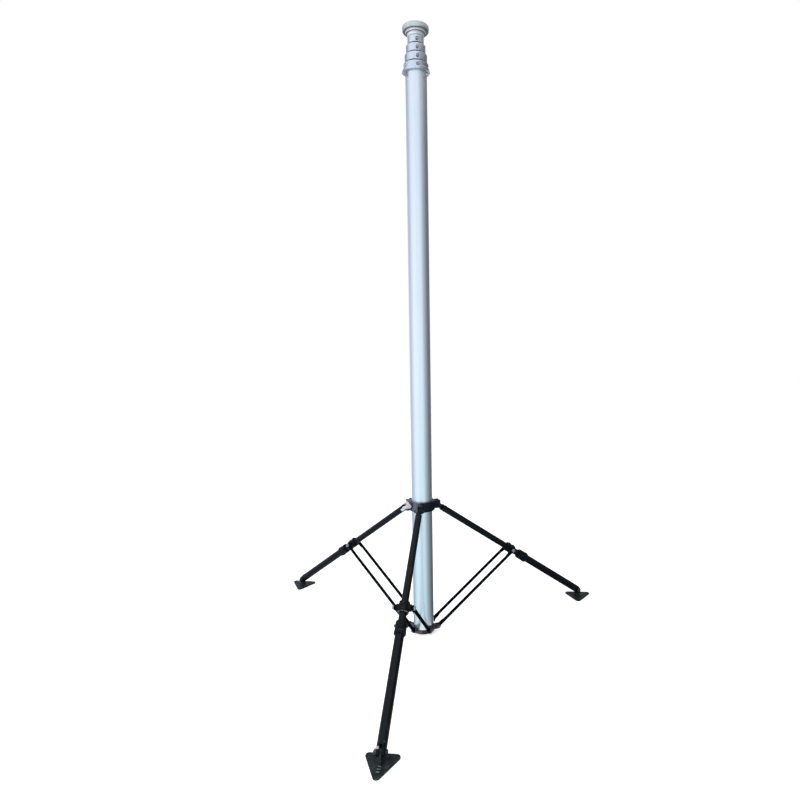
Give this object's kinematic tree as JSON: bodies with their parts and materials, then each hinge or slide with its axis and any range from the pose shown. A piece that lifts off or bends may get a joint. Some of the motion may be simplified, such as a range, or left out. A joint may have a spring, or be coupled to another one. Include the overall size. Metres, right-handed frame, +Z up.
{
  "type": "portable telescopic radio mast on a folding tripod",
  "caption": "Portable telescopic radio mast: nested tubes in locking collars, standing on a folding tripod with a sliding clamp hub, paired struts, extending legs and tilting feet.",
  "frame": {"origin": "on the mast's axis at ground level, the centre of the base's lower face", "axes": "+Z up the mast; the front leg points along -Y; +X is to the right as seen from the front"},
  "size_m": [1.3912, 1.2077, 2.3022],
  "materials": {
    "silver_tube": "bright anodised",
    "section_tube": "clear anodised",
    "turned_collar": "turned and anodised",
    "black_coat": "satin powder coat",
    "black_tube": "satin black",
    "bright_steel": "machined"
  },
  "bodies": {
    "mast": {"base_cap": "black_coat", "base_ring": "black_coat", "base_tube": "silver_tube", "collar_1": "turned_collar", "guy_ring": "black_coat", "lock_knob_1": "bright_steel"},
    "section_2": {"section_tube_2": "section_tube", "collar_2": "turned_collar", "lock_knob_2": "bright_steel"},
    "section_3": {"section_tube_3": "section_tube", "collar_3": "turned_collar", "lock_knob_3": "bright_steel"},
    "section_4": {"section_tube_4": "section_tube", "collar_4": "turned_collar", "lock_knob_4": "bright_steel"},
    "section_5": {"section_tube_5": "section_tube", "top_cap": "turned_collar"},
    "hub": {"hub_ring": "black_coat", "hub_clamp_bolt": "bright_steel"},
    "leg_front": {"leg_end_front": "black_coat", "upper_leg_front": "black_tube", "knee_clamp_front": "black_coat"},
    "shin_front": {"lower_leg_front": "black_tube", "lock_sleeve_front": "black_coat", "ankle_block_front": "black_coat"},
    "foot_front": {"foot_plate_front": "black_coat"},
    "strut_pair_front": {"struts_front": "black_tube"},
    "leg_right": {"leg_end_right": "black_coat", "upper_leg_right": "black_tube", "knee_clamp_right": "black_coat"},
    "shin_right": {"lower_leg_right": "black_tube", "lock_sleeve_right": "black_coat", "ankle_block_right": "black_coat"},
    "foot_right": {"foot_plate_right": "black_coat"},
    "strut_pair_right": {"struts_right": "black_tube"},
    "leg_left": {"leg_end_left": "black_coat", "upper_leg_left": "black_tube", "knee_clamp_left": "black_coat"},
    "shin_left": {"lower_leg_left": "black_tube", "lock_sleeve_left": "black_coat", "ankle_block_left": "black_coat"},
    "foot_left": {"foot_plate_left": "black_coat"},
    "strut_pair_left": {"struts_left": "black_tube"}
  },
  "joints": [
    {"name": "section_2_slide", "type": "slide", "parent": "mast", "child": "section_2", "axis": [0, 0, 1], "range_m": [0, 1.75]},
    {"name": "section_3_slide", "type": "slide", "parent": "section_2", "child": "section_3", "axis": [0, 0, 1], "range_m": [0, 1.75]},
    {"name": "section_4_slide", "type": "slide", "parent": "section_3", "child": "section_4", "axis": [0, 0, 1], "range_m": [0, 1.75]},
    {"name": "section_5_slide", "type": "slide", "parent": "section_4", "child": "section_5", "axis": [0, 0, 1], "range_m": [0, 1.75]},
    {"name": "hub_slide", "type": "slide", "parent": "mast", "child": "hub", "axis": [0, 0, 1], "range_m": [0, 0.335]},
    {"name": "leg_fold_front", "type": "hinge", "parent": "hub", "child": "leg_front", "pos_m": [0, -0.068, 0.5], "axis": [1, 0, 0], "range_deg": [0, 50.92]},
    {"name": "strut_fold_front", "type": "hinge", "parent": "mast", "child": "strut_pair_front", "pos_m": [0, -0.05, 0.02], "axis": [-1, 0, 0], "range_deg": [0, 47.08]},
    {"name": "shin_slide_front", "type": "slide", "parent": "leg_front", "child": "shin_front", "axis": [0, -0.8192, -0.5735], "range_m": [-0.02, 0.2]},
    {"name": "foot_tilt_front", "type": "hinge", "parent": "shin_front", "child": "foot_front", "pos_m": [0, -0.73645, 0.032], "axis": [1, 0, 0], "range_deg": [-60, 40]},
    {"name": "leg_fold_right", "type": "hinge", "parent": "hub", "child": "leg_right", "pos_m": [0.05889, 0.034, 0.5], "axis": [-0.5, 0.866, 0], "range_deg": [0, 50.92]},
    {"name": "strut_fold_right", "type": "hinge", "parent": "mast", "child": "strut_pair_right", "pos_m": [0.0433, 0.025, 0.02], "axis": [0.5, -0.866, 0], "range_deg": [0, 47.08]},
    {"name": "shin_slide_right", "type": "slide", "parent": "leg_right", "child": "shin_right", "axis": [0.7094, 0.4096, -0.5735], "range_m": [-0.02, 0.2]},
    {"name": "foot_tilt_right", "type": "hinge", "parent": "shin_right", "child": "foot_right", "pos_m": [0.63779, 0.36823, 0.032], "axis": [-0.5, 0.866, 0], "range_deg": [-60, 40]},
    {"name": "leg_fold_left", "type": "hinge", "parent": "hub", "child": "leg_left", "pos_m": [-0.05889, 0.034, 0.5], "axis": [-0.5, -0.866, 0], "range_deg": [0, 50.92]},
    {"name": "strut_fold_left", "type": "hinge", "parent": "mast", "child": "strut_pair_left", "pos_m": [-0.0433, 0.025, 0.02], "axis": [0.5, 0.866, 0], "range_deg": [0, 47.08]},
    {"name": "shin_slide_left", "type": "slide", "parent": "leg_left", "child": "shin_left", "axis": [-0.7094, 0.4096, -0.5735], "range_m": [-0.02, 0.2]},
    {"name": "foot_tilt_left", "type": "hinge", "parent": "shin_left", "child": "foot_left", "pos_m": [-0.63779, 0.36823, 0.032], "axis": [-0.5, -0.866, 0], "range_deg": [-60, 40]}
  ],
  "couplings": [
    {"joint": "leg_fold_front", "follows": "hub_slide", "rad_per_m": 2.6523},
    {"joint": "strut_fold_front", "follows": "hub_slide", "rad_per_m": 2.4521},
    {"joint": "leg_fold_right", "follows": "hub_slide", "rad_per_m": 2.6523},
    {"joint": "strut_fold_right", "follows": "hub_slide", "rad_per_m": 2.4521},
    {"joint": "leg_fold_left", "follows": "hub_slide", "rad_per_m": 2.6523},
    {"joint": "strut_fold_left", "follows": "hub_slide", "rad_per_m": 2.4521}
  ]
}
